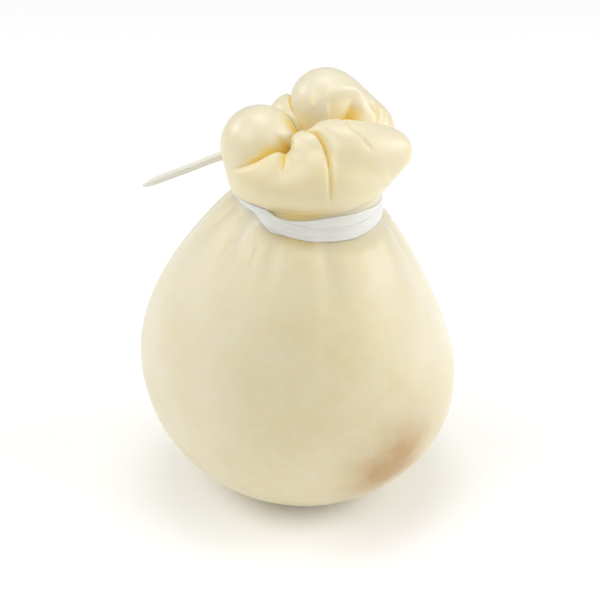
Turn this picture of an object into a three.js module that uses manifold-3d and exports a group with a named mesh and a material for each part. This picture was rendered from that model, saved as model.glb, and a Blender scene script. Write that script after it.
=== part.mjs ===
// Scamorza, a pear-shaped cheese of stretched curd. A round body narrows to a tied waist, and above
// the tie the gathered curd swells into a head of folds. White raffia is wound twice round the waist
// and knotted behind, and one end of it sticks out free.
// Millimetres, +Z up, the front faces -Y. The origin is on the flat spot that the cheese stands on.
// Angles are in degrees: azimuth 0 is +X and 90 is +Y, elevation counts up from level.

import * as THREE from 'three';
import { mergeVertices } from 'three/addons/utils/BufferGeometryUtils.js';
import Module from 'manifold-3d';

const wasm = await Module();
wasm.setup();

// Round body, from the flat spot up to the neck.
const BODY_RADIUS = 45.3;
const WIDEST_HEIGHT = 38.6;
const NECK_HEIGHT = 89.5;
const NECK_RADIUS = 21.4;
const FOOT_CUT = 0.908; // share of the lower bowl that is left above the flat spot
const BOWL_POWERS = [2.17, 1.81];
const SHOULDER_POWERS = [1.72, 1.0];

// The body's axis leans a little to each side on its way up.
const LEAN_HEIGHTS = [0, 27, 57, 81, 91];
const LEAN_OFFSETS = [2.2, 1.1, -1.3, 1.3, 3.2];

// Slow unevenness of the hand-shaped body: waves round it, turn with height, start, depth.
const SWAYS = [
  [2, 0.06, 0.0, 0.22],
  [3, -0.045, 1.0, 0.16],
  [5, 0.09, 2.2, 0.1],
];
const SWAY_HEIGHTS = [4, 26];

// Waist that the tie pulls in. Over a short reach below the tie's lower edge the curd bends in by a share
// of the way, and it narrows the rest of the way above that edge. The rings dip towards +X, fully at one
// height, and are level again at the waist's top.
const PULL_REACH = 4.0;
const PULL_SHARE = 0.7;
const WAIST_RADIUS = 19.9;
const WAIST_NARROW = 94.2;
const WAIST_TOP = 95.0;
const WAIST_TILT = 2.3;
const TILT_START = 50;
const TILT_FULL = 87.4;

// Soft pleats that run down from the tie: azimuth at the tie, azimuth at the lower end, height of
// the lower end, depth, width.
const PLEATS = [
  [222, 236, 62, 1.3, 5.5],
  [250, 254, 66, 0.8, 4.0],
  [283.5, 292, 56, 1.5, 6.5],
  [318, 322, 64, 0.8, 5.0],
  [352, 345, 60, 0.9, 5.0],
  [24, 30, 58, 1.0, 6.0],
  [62, 56, 62, 1.2, 5.0],
  [98, 104, 56, 0.9, 7.0],
  [133, 126, 60, 1.2, 5.5],
  [170, 176, 62, 0.9, 5.0],
  [196, 190, 64, 0.8, 4.5],
];
const PLEAT_FALL = 1.5;
const PLEAT_NARROW = 0.45;

// Head: each fold is a short run of balls, given as centre x, y, z and radius.
const HEAD_CENTRE = new THREE.Vector3(4, 0, 94);
const FOLDS = {
  left: [[-10.5, -2, 108, 10.8], [-8.7, -2.5, 102.7, 10.9]],
  small: [[-1.8, 10, 111.3, 6], [-1.3, 5.2, 110.3, 4.9]],
  back: [[7.7, 9, 114.9, 10.3], [12.8, 9.5, 111.3, 9.3], [18.3, 9, 107.1, 8.7]],
  front: [
    [-10.4, -10.6, 102.2, 4.2],
    [-8.2, -11.8, 104.2, 4.6],
    [-5, -11.5, 106, 4.8],
    [2.4, -9.3, 110, 5.1],
    [2.6, -12.6, 105, 6],
    [5.2, -12.4, 105, 6.4],
    [8.4, -7.6, 111.2, 5.9],
    [11.8, -8.7, 108.6, 8.2],
    [15, -8.3, 108.4, 8.4],
    [19, -7, 107.5, 8.1],
    [22.5, -5.5, 107.3, 6.9],
    [23, -5, 105, 6],
    [25.8, -5, 107.1, 5.2],
  ],
};
// Plain curd below the folds: a core, and the swell over the tie that the folds rise from.
const CORE_CENTRE = new THREE.Vector3(3.4, -0.5, 99.5);
const CORE_SIZE = new THREE.Vector3(20.8, 21, 10.5);
const SWELL = [
  [10.5, -13, 102, 8.6],
  [16, -9.5, 101.8, 7.8],
  [20.3, -5, 103.3, 6.9],
  [2.5, -14.5, 101, 7],
  [-5, -12.5, 100.5, 7.5],
  [-9.6, -8.6, 100.2, 8.6],
  [-7.5, 6.5, 102, 10],
  [1.5, 9.5, 102, 9.5],
  [11, 9.5, 102, 9.5],
  [17, 5, 102.5, 8.5],
];
// How softly the balls flow into each other, and how a ball fades out past its own edge.
const FOLD_SOFTNESS = 1.2;
const BETWEEN_FOLDS_SOFTNESS = 0.4;
const SWELL_SOFTNESS = 2.0;
const HEAD_SOFTNESS = 1.4;
const BALL_SKIRT = 5.0;
// Sharp seam where two folds press together. It fades where they sink into the swell.
const SEAM_DEPTH = 2.6;
const SEAM_WIDTH = 2.4;
const SEAM_OVER_SWELL = [-1, 2];
// Creases pressed into the head: points of azimuth and elevation, depth, width, and the shares of
// the crease at which it has sunk in and starts to rise again.
const CREASES = [
  [
    [
      [230, 60], [232, 54.5], [229.6, 50.3], [226.5, 46.5], [223.9, 41.8],
      [221.6, 36.8], [218, 33.2], [214.6, 28.8], [210.2, 25.4],
    ],
    2.5, 3.2, 0.1, 0.7,
  ],
  [
    [[230, 58], [232.5, 54], [234.5, 50.5], [239.7, 45.1], [242.9, 38.1], [244.2, 33.1], [244.2, 28.2]],
    2.4, 3.0, 0.1, 0.55,
  ],
  [
    [
      [250, 71], [265, 67.5], [276.1, 63.7], [281.8, 55.8],
      [284.2, 47.5], [283.9, 38.9], [283.2, 29.7], [282.5, 20],
    ],
    2.4, 3.2, 0.08, 0.6,
  ],
  [
    [[340, 72], [322, 66], [315, 60], [313.5, 56], [314.4, 51], [315, 45.5], [316.8, 40], [319.4, 35.9]],
    0.9, 2.4, 0.1, 0.6,
  ],
  [[[24, 53], [20.4, 51.2], [16.4, 47.3], [11.5, 46.2], [5, 45]], 1.3, 2.4, 0.2, 0.7],
  [[[112, 60], [108, 44], [104, 24]], 2.2, 2.8, 0.12, 0.55],
  [[[152, 52], [147, 38], [143, 22]], 1.6, 2.6, 0.12, 0.55],
  [[[62, 52], [60, 38], [56, 20]], 1.4, 2.6, 0.12, 0.55],
];
const CREASE_STEPS = 28;
const CREASE_NARROW = 0.4; // share of its width that a crease keeps at its ends
// Holes where several folds meet: azimuth, elevation, depth, width.
const DENTS = [
  [209, 75, 3.0, 2.6],
  [232.3, 53.8, 1.6, 2.0],
];
// Ear-like curl of the back fold: a lip, a leaf dished below it, and a pocket beside the leaf's edge.
// The lines are drawn on a level plane above the head's centre, and what lies on the left of a line,
// as it runs, is inside it.
const EAR_PLANE = 24;
const EAR_LOWEST = 0.2; // sine of the lowest elevation that the plane is used for
const LIP_LINE = [[14.3, 6.5], [12, 5.6], [8.8, 3.6], [6.3, 2.2], [4.3, 1.0], [3.2, 0.2], [2.8, -0.7]];
const LIP_RISE = 0.8;
const LIP_WIDTH = 0.85;
const LIP_ENDS = [0.3, 0.72, 1.0]; // shares of the line where the lip is full, fades and has gone
const LEAF_DEPTH = 1.5;
const LEAF_STEP = [0.3, 1.0];
const LEAF_END = [3, 7];
const LEAF_EDGE = [
  [9.3, 4.1], [10.3, 3.9], [10.7, 3.4], [10.4, 2.5], [9.8, 1.2], [9.0, 0.2], [8.4, -0.4], [7.4, -1.5],
];
const POCKET_DEPTH = 6;
const POCKET_LEFT = [0, 0.5];
const POCKET_FAR = [1.6, 4.2];
const POCKET_RIGHT = [12.6, 17.6];
const POCKET_NEAR = [-2.5, -0.5];

// Raffia tie: two flat turns, and a knot behind. Each turn leaves the common height by rises, given as
// height, azimuth and half spread.
const TIE_HEIGHT = 91;
const TIE_GAP = 0.35;
const TIE_TURNS = {
  upper: { rises: [[1.6, 308, 80], [-1.1, 250, 36], [2.1, 214, 42]], width: 4.4 },
  lower: { rises: [[-1.6, 290, 85], [2.1, 214, 42], [0.7, 350, 45]], width: 3.9 },
};
const STRIP_EDGE = 0.5;
const STRIP_CROWN = 0.45;
const KNOT_AZIMUTH = 110;
const KNOT_RADIUS = 22.4;
const KNOT_SIZE = [3.6, 2.0, 2.2]; // half sizes along the tie, outwards and up
const KNOT_TWISTS = [-28, 28];
const KNOT_SEGMENTS = [14, 9];

// Free end of the raffia: it rises from the knot, bends over and droops, as stiff raffia does.
const TAIL_DIAMETER = 2.5;
const TAIL_ROUTE = [
  [-8.5, 19.9, 91.4],
  [-10.5, 19.2, 92.7],
  [-12.8, 18.5, 93.9],
  [-15.1, 17.8, 94.9],
  [-17.5, 17.0, 95.7],
  [-19.9, 16.2, 96.1],
  [-22.3, 15.4, 95.9],
  [-24.8, 14.6, 95.3],
  [-27.3, 13.8, 94.6],
  [-29.8, 12.9, 93.9],
  [-32.2, 12.1, 93.3],
  [-34.6, 11.3, 92.7],
  [-37.0, 10.5, 92.1],
  [-39.4, 9.6, 91.5],
  [-41.8, 8.8, 90.8],
  [-44.2, 8.0, 90.2],
];
const TAIL_SIDES = 8;
const TAIL_STEPS = 15;

// Fineness of the surfaces.
const CHEESE_COLUMNS = 88;
const BODY_ROWS = 22;
const ROW_CROWDING = 0.75; // below 1 it draws the body's rings up towards the tie
const WAIST_ROWS = 4;
const HEAD_ROWS = 37;
const HEAD_BLEND = [-0.03, 0.07];
const EVENING = 0.12;
const TIE_OUTER_POINTS = 7;
const TIE_INNER_POINTS = 4;

const radians = THREE.MathUtils.degToRad;
const clamp = THREE.MathUtils.clamp;
const ease = (from, to, value) => {
  const t = clamp((value - from) / (to - from), 0, 1);
  return t * t * (3 - 2 * t);
};

// Smooth curve through a few values.
function through(places, values, place) {
  const last = places.length - 1;
  const slope = (i) => {
    const a = Math.max(i - 1, 0);
    const b = Math.min(i + 1, last);
    return (values[b] - values[a]) / (places[b] - places[a]);
  };
  let i = 0;
  while (i < last - 1 && place > places[i + 1]) i += 1;
  const span = places[i + 1] - places[i];
  const t = clamp((place - places[i]) / span, 0, 1);
  const rise = t * t * (3 - 2 * t);
  const leave = (t ** 3 - 2 * t ** 2 + t) * span * slope(i);
  const arrive = (t ** 3 - t ** 2) * span * slope(i + 1);
  return values[i] + (values[i + 1] - values[i]) * rise + leave + arrive;
}

// Largest of several values, with the change-over rounded off.
function softLargest(values, softness) {
  const top = Math.max(...values);
  const sum = values.reduce((total, value) => total + Math.exp((value - top) / softness), 0);
  return top + softness * Math.log(sum);
}

function direction(azimuth, elevation) {
  const level = Math.cos(elevation);
  return new THREE.Vector3(level * Math.cos(azimuth), level * Math.sin(azimuth), Math.sin(elevation));
}

// Body

const lean = (height) => through(LEAN_HEIGHTS, LEAN_OFFSETS, height);

function plainRadius(height) {
  if (height < WIDEST_HEIGHT) {
    const down = (FOOT_CUT * (WIDEST_HEIGHT - height)) / WIDEST_HEIGHT;
    return BODY_RADIUS * (1 - down ** BOWL_POWERS[0]) ** (1 / BOWL_POWERS[1]);
  }
  const up = clamp((height - WIDEST_HEIGHT) / (NECK_HEIGHT - WIDEST_HEIGHT), 0, 1);
  const shoulder = (1 - up ** SHOULDER_POWERS[0]) ** SHOULDER_POWERS[1];
  return NECK_RADIUS + (BODY_RADIUS - NECK_RADIUS) * shoulder;
}

function pleatDepth(azimuth, height) {
  let depth = 0;
  for (const [tieAzimuth, lowAzimuth, lowHeight, deepest, width] of PLEATS) {
    const along = Math.max((TILT_FULL - height) / (TILT_FULL - lowHeight), 0);
    if (along > 1) continue;
    const middle = radians(tieAzimuth + (lowAzimuth - tieAzimuth) * along);
    const turn = azimuth - middle;
    const aside = Math.abs(Math.atan2(Math.sin(turn), Math.cos(turn))) * plainRadius(height);
    const spread = width * (PLEAT_NARROW + (1 - PLEAT_NARROW) * along);
    depth += deepest * (1 - along) ** PLEAT_FALL * Math.exp(-((aside / spread) ** 2));
  }
  return depth;
}

function swayRise(azimuth, height) {
  const wave = ([count, turn, start, rise]) => rise * Math.sin(count * azimuth + turn * height + start);
  return ease(...SWAY_HEIGHTS, height) * SWAYS.reduce((sum, sway) => sum + wave(sway), 0);
}

// How far a ring dips: fully at one height below the waist, and not at all at its level top.
function axisDip(azimuth, height) {
  const levelled = clamp((height - TILT_FULL) / (WAIST_TOP - TILT_FULL), 0, 1);
  return WAIST_TILT * Math.cos(azimuth) * ease(TILT_START, TILT_FULL, height) * (1 - levelled);
}

// 1 at an azimuth, falling to 0 at half a spread on both sides.
function bump(turn, azimuth, halfSpread) {
  const off = turn - radians(azimuth);
  const aside = clamp(Math.atan2(Math.sin(off), Math.cos(off)) / radians(halfSpread), -1, 1);
  return Math.cos((aside * Math.PI) / 2) ** 2;
}

// Middle height of one turn of the tie.
function turnHeight({ rises }, turn) {
  const lift = ([rise, azimuth, halfSpread]) => rise * bump(turn, azimuth, halfSpread);
  return TIE_HEIGHT + rises.reduce((sum, row) => sum + lift(row), 0);
}

// Height along the axis at which the waist starts: that of the tie's lower edge.
function waistBottom(turn) {
  const edge = turnHeight(TIE_TURNS.lower, turn) - TIE_TURNS.lower.width / 2;
  if (edge < TILT_FULL) return edge;
  const tilt = WAIST_TILT * Math.cos(turn);
  const span = WAIST_TOP - TILT_FULL;
  return (edge - tilt + (tilt * WAIST_TOP) / span) / (1 + tilt / span);
}

// Point at a radius round the leaning axis.
function aroundAxis(azimuth, radius, height, z) {
  return new THREE.Vector3(lean(height) + radius * Math.cos(azimuth), radius * Math.sin(azimuth), z);
}

// The tie pulls the curd in to the waist.
function pulledIn(azimuth, radius, height) {
  const low = waistBottom(azimuth);
  const bent = PULL_SHARE * clamp((height - low) / PULL_REACH + 1, 0, 1) ** 2;
  const narrowed = (1 - PULL_SHARE) * clamp((height - low) / (WAIST_NARROW - low), 0, 1);
  return radius + (WAIST_RADIUS - radius) * (bent + narrowed);
}

function bodyPoint(azimuth, height) {
  const full = plainRadius(height) - pleatDepth(azimuth, height) + swayRise(azimuth, height);
  return aroundAxis(azimuth, pulledIn(azimuth, full, height), height, height - axisDip(azimuth, height));
}

// Head

// How far a ball reaches along a ray from the head's centre.
function ballReach(ray, [x, y, z, radius]) {
  const centre = new THREE.Vector3(x, y, z).sub(HEAD_CENTRE);
  const along = ray.dot(centre);
  if (along <= 0) return 0;
  const inside = along ** 2 - centre.lengthSq() + radius ** 2;
  if (inside < 0) return along * Math.exp(inside / BALL_SKIRT ** 2);
  return along + Math.sqrt(inside);
}

function coreReach(ray) {
  const start = HEAD_CENTRE.clone().sub(CORE_CENTRE).divide(CORE_SIZE);
  const step = ray.clone().divide(CORE_SIZE);
  const a = step.lengthSq();
  const b = step.dot(start);
  return (Math.sqrt(Math.max(b * b - a * (start.lengthSq() - 1), 0)) - b) / a;
}

// A groove with a rounded lip and a sharp bottom: 1 in the middle, 0 from its edge outwards.
const sharpGroove = (aside) => 1 - Math.sqrt(1 - (1 - clamp(aside, 0, 1)) ** 2);

// Smooth path through points given as rows of numbers, each turned into a vector.
function smoothPath(points, toVector) {
  const places = points.map((point, i) => i);
  const values = points[0].map((_, axis) => points.map((point) => point[axis]));
  return Array.from({ length: CREASE_STEPS + 1 }, (_, k) => {
    const place = (k / CREASE_STEPS) * (points.length - 1);
    return toVector(...values.map((row) => through(places, row, place)));
  });
}

const towards = (azimuth, elevation) => direction(radians(azimuth), radians(elevation));
const creases = CREASES.map(([points, ...sizes]) => [smoothPath(points, towards), ...sizes]);
const dents = DENTS.map(([azimuth, elevation, ...sizes]) => [towards(azimuth, elevation), ...sizes]);
const onPlane = (x, y) => new THREE.Vector2(x, y);
const lipPath = smoothPath(LIP_LINE, onPlane);
const leafPath = smoothPath(LEAF_EDGE, onPlane);

// Distance from a place to a path, the share of the path before it, and the step that it is beside.
function nearestOnPath(place, path) {
  let found = { distance: Infinity };
  for (let k = 0; k < path.length - 1; k += 1) {
    const step = path[k + 1].clone().sub(path[k]);
    const offset = place.clone().sub(path[k]);
    const share = clamp(offset.dot(step) / step.lengthSq(), 0, 1);
    const distance = offset.clone().addScaledVector(step, -share).length();
    if (distance < found.distance) {
      found = { distance, along: (k + share) / (path.length - 1), step, offset };
    }
  }
  return found;
}

function creaseDepth(ray, reach, [path, depth, width, sunk, rising]) {
  const { distance, along } = nearestOnPath(ray, path);
  const fade = ease(0, sunk, along) * (1 - ease(rising, 1, along));
  const narrowed = width * (CREASE_NARROW + (1 - CREASE_NARROW) * fade);
  return depth * fade * sharpGroove((distance * reach) / narrowed);
}

function dentDepth(ray, reach, [middle, depth, width]) {
  return depth * Math.exp(-(((ray.distanceTo(middle) * reach) / width) ** 2));
}

// Distance from a line on the ear's plane, above 0 on the line's left, and the share along it.
function besideLine(place, path) {
  const { distance, along, step, offset } = nearestOnPath(place, path);
  return { inside: step.cross(offset) > 0 ? distance : -distance, along };
}

function curlRise(place) {
  const { inside, along } = besideLine(place, lipPath);
  const [full, fading, gone] = LIP_ENDS;
  const shown = ease(0, full, along) * (1 - ease(fading, gone, along));
  const lip = LIP_RISE * Math.exp(-((inside / LIP_WIDTH) ** 2));
  const leaf = LEAF_DEPTH * ease(...LEAF_STEP, inside) * (1 - ease(...LEAF_END, inside));
  return shown * (lip - leaf);
}

function pocketDepth(place) {
  const { inside } = besideLine(place, leafPath);
  const far = 1 - ease(...POCKET_FAR, place.y);
  const right = 1 - ease(...POCKET_RIGHT, place.x);
  return POCKET_DEPTH * ease(...POCKET_LEFT, inside) * far * right * ease(...POCKET_NEAR, place.y);
}

// Distance from the head's centre to its surface along a ray.
function headReach(ray) {
  const reachOf = (ball) => ballReach(ray, ball);
  const folds = Object.values(FOLDS).map((balls) => softLargest(balls.map(reachOf), FOLD_SOFTNESS));
  const [top, second] = [...folds].sort((a, b) => b - a);
  const swell = softLargest([coreReach(ray), ...SWELL.map(reachOf)], SWELL_SOFTNESS);
  const ear = onPlane(ray.x, ray.y).multiplyScalar(EAR_PLANE / Math.max(ray.z, EAR_LOWEST));
  let reach = softLargest([softLargest(folds, BETWEEN_FOLDS_SOFTNESS), swell], HEAD_SOFTNESS);
  const pressed = ease(...SEAM_OVER_SWELL, second - swell);
  reach -= SEAM_DEPTH * pressed * sharpGroove((top - second) / SEAM_WIDTH);
  reach += curlRise(ear);
  for (const crease of creases) reach -= creaseDepth(ray, reach, crease);
  for (const dent of dents) reach -= dentDepth(ray, reach, dent);
  return reach - pocketDepth(ear);
}

// Surfaces

const turnOf = (column, columns) => (column / columns) * 2 * Math.PI;

function ring(columns, pointAt) {
  return Array.from({ length: columns }, (_, column) => pointAt(turnOf(column, columns), column));
}

// Two triangles for each cell between neighbouring rings, split along the shorter diagonal.
function wallTriangles(rings, columns, closed) {
  const triangles = [];
  const rows = closed ? rings.length : rings.length - 1;
  for (let row = 0; row < rows; row += 1) {
    for (let column = 0; column < columns; column += 1) {
      const next = (column + 1) % columns;
      const above = (row + 1) % rings.length;
      const a = row * columns + column;
      const b = row * columns + next;
      const c = above * columns + next;
      const d = above * columns + column;
      const rising = rings[row][column].distanceTo(rings[above][next]);
      const falling = rings[row][next].distanceTo(rings[above][column]);
      if (rising < falling) triangles.push(a, b, c, a, c, d);
      else triangles.push(a, b, d, b, c, d);
    }
  }
  return triangles;
}

function surface(points, triangles) {
  const geometry = new THREE.BufferGeometry();
  geometry.setFromPoints(points);
  geometry.setIndex(triangles);
  geometry.computeVertexNormals();
  return geometry;
}

// Heights along the axis of the body's and the waist's rings, at one turn.
function bodyHeights(turn) {
  const low = waistBottom(turn);
  const heights = [];
  for (let row = 0; row <= BODY_ROWS; row += 1) {
    const share = (row / BODY_ROWS) ** ROW_CROWDING;
    heights.push(low * (0.5 - 0.5 * Math.cos(Math.PI * share)));
  }
  for (let row = 1; row <= WAIST_ROWS; row += 1) {
    heights.push(low + ((WAIST_TOP - low) * row) / WAIST_ROWS);
  }
  return heights;
}

// Each value drawn a little towards its neighbours, which takes the teeth out of sharp seams.
function evened(rows) {
  const columns = rows[0].length;
  const drawn = (value, before, after) => value + EVENING * (before + after - 2 * value);
  const across = rows.map((row) => row.map((value, column) => {
    const before = row[(column + columns - 1) % columns];
    const after = row[(column + 1) % columns];
    return drawn(value, before, after);
  }));
  return across.map((row, i) => row.map((value, column) => {
    const below = across[Math.max(i - 1, 0)][column];
    const above = across[Math.min(i + 1, rows.length - 1)][column];
    return drawn(value, below, above);
  }));
}

// Rings of the head rise from the waist's top ring to the pole above the head's centre.
function headRings(waistTop) {
  const starts = waistTop.map((point) => point.clone().sub(HEAD_CENTRE));
  const shares = Array.from({ length: HEAD_ROWS - 1 }, (_, row) => (row + 1) / HEAD_ROWS);
  const rays = shares.map((share) => starts.map((start) => {
    const low = Math.asin(start.z / start.length());
    return direction(Math.atan2(start.y, start.x), low + (Math.PI / 2 - low) * share);
  }));
  const reaches = evened(rays.map((row) => row.map(headReach)));
  return rays.map((row, i) => row.map((ray, column) => {
    const start = starts[column].length();
    const reach = start + (reaches[i][column] - start) * ease(...HEAD_BLEND, shares[i]);
    return ray.multiplyScalar(reach).add(HEAD_CENTRE);
  }));
}

function cheeseRings() {
  const pointsAt = (turn) => bodyHeights(turn).map((height) => bodyPoint(turn, height));
  const columns = ring(CHEESE_COLUMNS, pointsAt);
  const body = columns[0].map((_, row) => columns.map((column) => column[row]));
  return [...body, ...headRings(body[body.length - 1])];
}

function cheeseGeometry(rings) {
  const foot = new THREE.Vector3(lean(0), 0, 0);
  const upwards = new THREE.Vector3(0, 0, 1);
  const crown = HEAD_CENTRE.clone().addScaledVector(upwards, headReach(upwards));
  const points = [...rings.flat(), foot, crown];
  const triangles = wallTriangles(rings, CHEESE_COLUMNS, false);
  const topRing = (rings.length - 1) * CHEESE_COLUMNS;
  for (let column = 0; column < CHEESE_COLUMNS; column += 1) {
    const next = (column + 1) % CHEESE_COLUMNS;
    triangles.push(points.length - 2, next, column);
    triangles.push(points.length - 1, topRing + column, topRing + next);
  }
  return surface(points, triangles);
}

// Radius of the cheese at a height, in one column of its rings.
function columnRadius(rings, column, z) {
  let row = Math.floor(BODY_ROWS / 2);
  while (rings[row + 1][column].z < z) row += 1;
  const [below, above] = [rings[row][column], rings[row + 1][column]];
  const point = below.clone().lerp(above, (z - below.z) / (above.z - below.z));
  return Math.hypot(point.x - lean(z), point.y);
}

// Closed section of the tie: up the crowned outside, then down the plain inside.
function tieSection(rings, turn, column) {
  const turns = Object.values(TIE_TURNS).map((strip) => {
    return { middle: turnHeight(strip, turn), half: strip.width / 2 };
  });
  const low = Math.min(...turns.map(({ middle, half }) => middle - half));
  const high = Math.max(...turns.map(({ middle, half }) => middle + half));
  const dip = WAIST_TILT * Math.cos(turn);
  const crown = (height, { middle, half }) => {
    const aside = (height - middle) / half;
    return STRIP_CROWN * Math.sqrt(Math.max(1 - aside ** 2, 0));
  };
  const wallPoint = (share, thickness) => {
    const height = low + (high - low) * share;
    const crowns = turns.reduce((sum, strip) => sum + crown(height, strip), STRIP_EDGE);
    const radius = columnRadius(rings, column, height - dip) + TIE_GAP + thickness * crowns;
    return aroundAxis(turn, radius, height, height - dip);
  };
  const section = [];
  for (let k = 0; k < TIE_OUTER_POINTS; k += 1) section.push(wallPoint(k / (TIE_OUTER_POINTS - 1), 1));
  for (let k = 0; k < TIE_INNER_POINTS; k += 1) section.push(wallPoint(1 - k / (TIE_INNER_POINTS - 1), 0));
  return section;
}

function windingGeometry(rings) {
  const sections = ring(CHEESE_COLUMNS, (turn, column) => tieSection(rings, turn, column));
  const loops = sections[0].map((_, k) => sections.map((section) => section[k]));
  return surface(loops.flat(), wallTriangles(loops, CHEESE_COLUMNS, true));
}

// The knot is two crossed lumps of raffia lying on the tie.
function knotGeometry(twist) {
  const azimuth = radians(KNOT_AZIMUTH);
  const geometry = new THREE.SphereGeometry(1, ...KNOT_SEGMENTS);
  geometry.scale(...KNOT_SIZE);
  geometry.rotateY(radians(twist));
  geometry.rotateZ(azimuth - Math.PI / 2);
  const height = TIE_HEIGHT - WAIST_TILT * Math.cos(azimuth);
  const centre = aroundAxis(azimuth, KNOT_RADIUS, TIE_HEIGHT, height);
  geometry.translate(centre.x, centre.y, centre.z);
  return geometry;
}

function toSolid(geometry) {
  const bare = geometry.clone();
  bare.deleteAttribute('normal');
  bare.deleteAttribute('uv');
  const merged = mergeVertices(bare, 1e-4);
  const vertProperties = new Float32Array(merged.attributes.position.array);
  const triVerts = new Uint32Array(merged.index.array);
  return new wasm.Manifold(new wasm.Mesh({ numProp: 3, vertProperties, triVerts }));
}

function toGeometry(solid) {
  const { vertProperties, triVerts } = solid.getMesh();
  const geometry = new THREE.BufferGeometry();
  geometry.setAttribute('position', new THREE.BufferAttribute(new Float32Array(vertProperties), 3));
  geometry.setIndex(new THREE.BufferAttribute(new Uint32Array(triVerts), 1));
  geometry.computeVertexNormals();
  return geometry;
}

function tieGeometry(rings) {
  const knots = KNOT_TWISTS.map((twist) => toSolid(knotGeometry(twist)));
  return toGeometry(knots.reduce((tie, knot) => tie.add(knot), toSolid(windingGeometry(rings))));
}

function tailGeometry() {
  const route = new THREE.CatmullRomCurve3(TAIL_ROUTE.map((point) => new THREE.Vector3(...point)));
  const corners = Array.from({ length: TAIL_SIDES }, (_, side) => {
    const turn = turnOf(side, TAIL_SIDES);
    return new THREE.Vector2(Math.cos(turn), Math.sin(turn)).multiplyScalar(TAIL_DIAMETER / 2);
  });
  return new THREE.ExtrudeGeometry(new THREE.Shape(corners), { extrudePath: route, steps: TAIL_STEPS });
}

function piece(name, geometry, color, roughness) {
  const material = new THREE.MeshStandardMaterial({ color, roughness, metalness: 0 });
  const mesh = new THREE.Mesh(geometry, material);
  mesh.name = name;
  return mesh;
}

const rings = cheeseRings();
const scamorza = new THREE.Group();
scamorza.add(piece('cheese', cheeseGeometry(rings), 0xeadfb9, 0.42));
scamorza.add(piece('tie', tieGeometry(rings), 0xefeee8, 0.38));
scamorza.add(piece('tie_tail', tailGeometry(), 0xe6e4da, 0.45));

export default scamorza;
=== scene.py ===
"""Scamorza: a pear-shaped cheese of stretched curd, tied at the waist with white raffia.

Shapes are worked out in millimetres and turned into metres when a mesh is made. Angles are in
degrees: azimuth 0 is +X and 90 is +Y, and elevation counts up from level. The front faces -Y.
"""

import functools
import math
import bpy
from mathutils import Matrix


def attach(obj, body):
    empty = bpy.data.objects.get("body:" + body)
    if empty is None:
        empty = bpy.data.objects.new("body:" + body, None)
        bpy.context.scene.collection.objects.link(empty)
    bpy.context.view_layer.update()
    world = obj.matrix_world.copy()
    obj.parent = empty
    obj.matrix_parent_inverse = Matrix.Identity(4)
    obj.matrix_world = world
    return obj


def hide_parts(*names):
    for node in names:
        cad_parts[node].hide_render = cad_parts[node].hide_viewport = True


bl_info = {
    "name": "Scamorza",
    "version": (1, 0, 0),
    "blender": (4, 5, 0),
    "location": "View3D > Sidebar > Scamorza",
    "description": "Makes a tied, pear-shaped cheese and the studio that it stands in",
    "category": "Add Mesh",
}

import bpy
import numpy as np
from mathutils import Vector

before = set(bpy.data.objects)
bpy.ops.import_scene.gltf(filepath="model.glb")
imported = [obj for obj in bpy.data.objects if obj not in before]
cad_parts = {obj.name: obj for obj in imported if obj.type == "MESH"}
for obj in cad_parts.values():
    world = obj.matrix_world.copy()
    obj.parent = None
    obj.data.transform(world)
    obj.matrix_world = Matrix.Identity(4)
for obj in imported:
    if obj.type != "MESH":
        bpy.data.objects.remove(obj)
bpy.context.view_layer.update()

BODY = "root"
MM = 0.001

# View that the object is shown from. The photograph is a square of FRAME_PIXELS, and the point AIM,
# in metres, lies on its pixel AIM_PIXEL. A pixel covers PIXEL_SIZE there, in metres.
FRAME_PIXELS = 600
AIM = (0.0, 0.0, 0.0594)
AIM_PIXEL = (298.0, 294.8)
PIXEL_SIZE = 0.0002866
SENSOR = 36.0

# Softboxes: azimuth and elevation seen from the cheese, and width. The stage is in metres.
SOFTBOXES = {
    "right": (12, 22, 0.35),
    "right_front": (347, 27, 0.8),
    "left": (163, 31, 0.38),
    "left_front": (215, 45, 0.5),
    "front": (270, 55, 0.5),
    "top": (90, 80, 0.5),
}
SOFTBOX_DISTANCE = 0.9
FLOOR_HALF_WIDTH = 3.0
FLOOR_ROUGHNESS = 0.8

# Round body: a bowl, cut flat at FOOT_CUT of its depth, and a shoulder that narrows to the neck. The
# powers give their curves. The axis is off to +X by LEAN_OFFSETS at LEAN_HEIGHTS.
BODY_RADIUS = 45.3
WIDEST_HEIGHT = 38.6
NECK_HEIGHT = 89.5
NECK_RADIUS = 21.4
FOOT_CUT = 0.908
BOWL_POWERS = (2.17, 1.81)
SHOULDER_POWERS = (1.72, 1.0)
LEAN_HEIGHTS = (0, 27, 57, 81, 91)
LEAN_OFFSETS = (2.2, 1.1, -1.3, 1.3, 3.2)
# Slow unevenness: waves round the body, turn with height, start, rise.
SWAYS = ((2, 0.06, 0.0, 0.22), (3, -0.045, 1.0, 0.16), (5, 0.09, 2.2, 0.10))
SWAY_HEIGHTS = (4, 26)

# Waist that the tie pulls in: the curd bends in over PULL_REACH below the tie, by PULL_SHARE of the
# way, and the rest of the way up to WAIST_NARROW. The rings dip towards +X from TILT_START, fully
# at TILT_FULL, and are level again at WAIST_TOP.
PULL_REACH = 4.0
PULL_SHARE = 0.7
WAIST_RADIUS = 19.9
WAIST_NARROW = 94.2
WAIST_TOP = 95.0
WAIST_TILT = 2.3
TILT_START = 50
TILT_FULL = 87.4
# Painted shade in the waist, just below and above the tie: it starts at a depth under the tie's lower
# edge, is full from a height over that edge, and goes on to a height over the waist, in that order. The
# shares are those behind and at its azimuth. It is the tan shadow's colour with a share of the creases'
# painted golden shade.
WARM_BELOW = 2.6
TIE_SHADE_FULL = 0.5
TIE_SHADE_ABOVE = 4.0
TIE_SHADE_AZIMUTH = 258
TIE_SHADE_SPREAD = 52
TIE_SHADE_SHARES = (0.1, 0.66)
TIE_SHADE_GOLD = 0.62

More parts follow.
